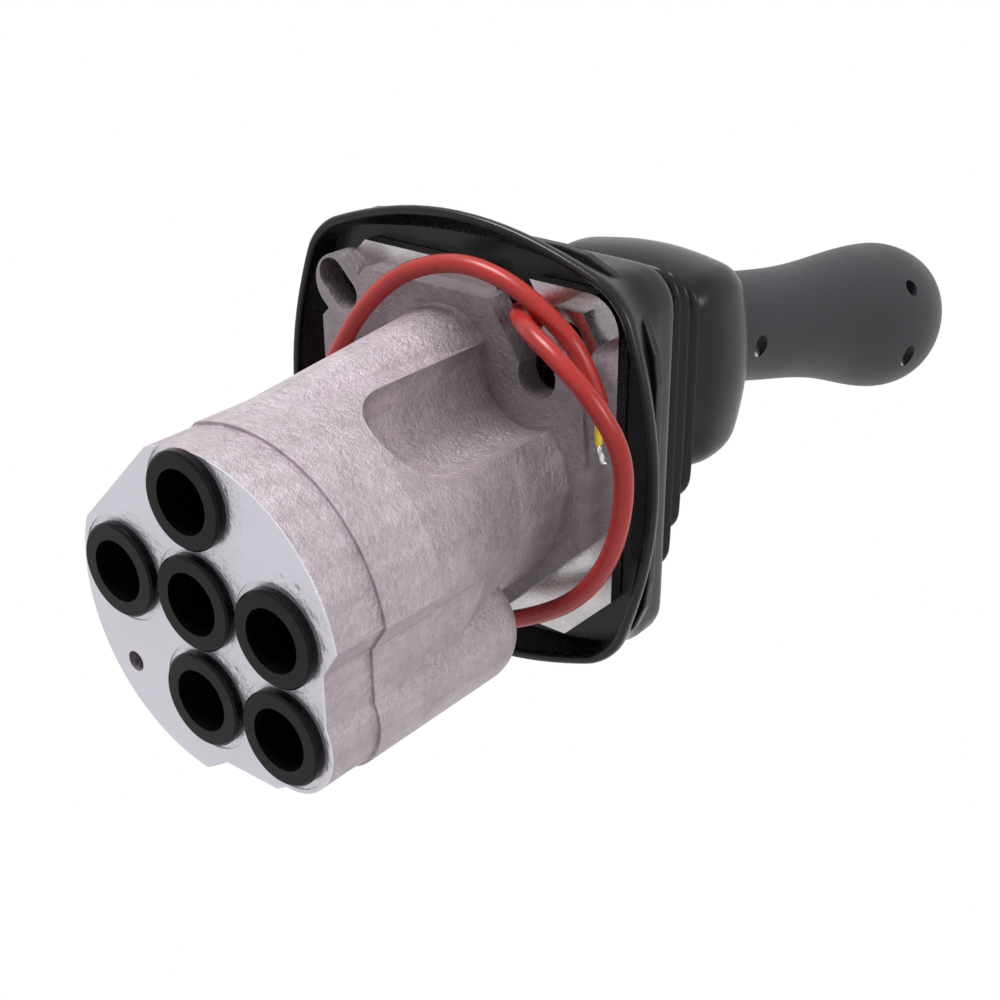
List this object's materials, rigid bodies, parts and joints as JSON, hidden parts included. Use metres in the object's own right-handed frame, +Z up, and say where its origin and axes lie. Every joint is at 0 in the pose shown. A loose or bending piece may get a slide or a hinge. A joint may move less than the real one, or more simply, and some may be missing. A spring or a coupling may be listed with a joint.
{
  "type": "hydraulic pilot joystick valve",
  "caption": "Pilot control joystick: ported cast valve block, flange and plate, universal joint with four push rods, bellows boot, cranked two-part grip with button, and a sleeved wire loop.",
  "frame": {"origin": "on the lever axis at the underside of the mounting plate, midway between the two weld nuts", "axes": "+Z up the lever axis towards the grip, ports face -Z; +X towards the push rod beside the front weld nut and wire slot, +Y towards the corner port"},
  "size_m": [0.1213, 0.119, 0.3341],
  "materials": {
    "cast_body": "sand-cast, lightly blasted, machined port face",
    "port_plastic": "smooth moulded",
    "zinc_steel": "bright zinc",
    "ground_steel": "ground and hardened",
    "spring_steel": "oiled",
    "seal_rubber": "moulded",
    "boot_rubber": "moulded, satin",
    "grip_plastic": "fine spark-eroded texture",
    "button_plastic": "satin",
    "sleeve_red": "coated glass-fibre sleeve",
    "wire_yellow": "PVC insulation",
    "tinned_copper": "tinned strands"
  },
  "bodies": {
    "valve": {"valve_body": "cast_body", "body_flange": "cast_body", "port_plug_1": "port_plastic", "port_plug_2": "port_plastic", "port_plug_3": "port_plastic", "port_plug_4": "port_plastic", "port_plug_5": "port_plastic", "port_plug_6": "port_plastic", "mounting_plate": "zinc_steel", "weld_nut_front": "zinc_steel", "weld_nut_rear": "zinc_steel", "plate_dowels": "ground_steel", "guide_orings": "seal_rubber", "joint_base": "ground_steel", "guide_plug_1": "zinc_steel", "rod_seal_1": "seal_rubber", "return_spring_1": "spring_steel", "guide_plug_2": "zinc_steel", "rod_seal_2": "seal_rubber", "return_spring_2": "spring_steel", "guide_plug_3": "zinc_steel", "rod_seal_3": "seal_rubber", "return_spring_3": "spring_steel", "guide_plug_4": "zinc_steel", "rod_seal_4": "seal_rubber", "return_spring_4": "spring_steel", "boot": "boot_rubber", "wire_sleeve": "sleeve_red", "signal_wire": "wire_yellow", "wire_strands": "tinned_copper"},
    "cross": {"joint_cross": "ground_steel"},
    "lever": {"joint_fork": "ground_steel", "tilting_disc": "ground_steel", "disc_nut": "zinc_steel", "lever_shaft": "zinc_steel", "grip_front": "grip_plastic", "grip_rear": "grip_plastic", "grip_screws": "ground_steel", "switch_body": "button_plastic"},
    "button": {"push_button": "button_plastic"},
    "rod_1": {"push_rod_1": "ground_steel", "spring_seat_1": "ground_steel", "spool_1": "ground_steel"},
    "rod_2": {"push_rod_2": "ground_steel", "spring_seat_2": "ground_steel", "spool_2": "ground_steel"},
    "rod_3": {"push_rod_3": "ground_steel", "spring_seat_3": "ground_steel", "spool_3": "ground_steel"},
    "rod_4": {"push_rod_4": "ground_steel", "spring_seat_4": "ground_steel", "spool_4": "ground_steel"}
  },
  "joints": [
    {"name": "cross_tilt", "type": "hinge", "parent": "valve", "child": "cross", "pos_m": [0, 0, 0.024], "axis": [1, 0, 0], "range_deg": [-19, 19], "stiffness_Nm_per_rad": 8, "deforming": ["boot"]},
    {"name": "lever_tilt", "type": "hinge", "parent": "cross", "child": "lever", "pos_m": [0, 0, 0.024], "axis": [0, 1, 0], "range_deg": [-19, 19], "stiffness_Nm_per_rad": 8, "deforming": ["boot"]},
    {"name": "button_press", "type": "slide", "parent": "lever", "child": "button", "axis": [0.866, -0.5, 0], "range_m": [0, 0.003], "stiffness_N_per_m": 500, "springref_m": -0.001},
    {"name": "rod_slide_1", "type": "slide", "parent": "valve", "child": "rod_1", "axis": [0, 0, 1], "range_m": [-0.0077, 0.0077], "deforming": ["return_spring_1"]},
    {"name": "rod_slide_2", "type": "slide", "parent": "valve", "child": "rod_2", "axis": [0, 0, 1], "range_m": [-0.0077, 0.0077], "deforming": ["return_spring_2"]},
    {"name": "rod_slide_3", "type": "slide", "parent": "valve", "child": "rod_3", "axis": [0, 0, 1], "range_m": [-0.0077, 0.0077], "deforming": ["return_spring_3"]},
    {"name": "rod_slide_4", "type": "slide", "parent": "valve", "child": "rod_4", "axis": [0, 0, 1], "range_m": [-0.0077, 0.0077], "deforming": ["return_spring_4"]}
  ],
  "couplings": [
    {"joint": "rod_slide_1", "follows": "lever_tilt", "m_per_rad": -0.02284},
    {"joint": "rod_slide_3", "follows": "lever_tilt", "m_per_rad": 0.02284},
    {"joint": "rod_slide_2", "follows": "cross_tilt", "m_per_rad": 0.02284},
    {"joint": "rod_slide_4", "follows": "cross_tilt", "m_per_rad": -0.02284}
  ]
}
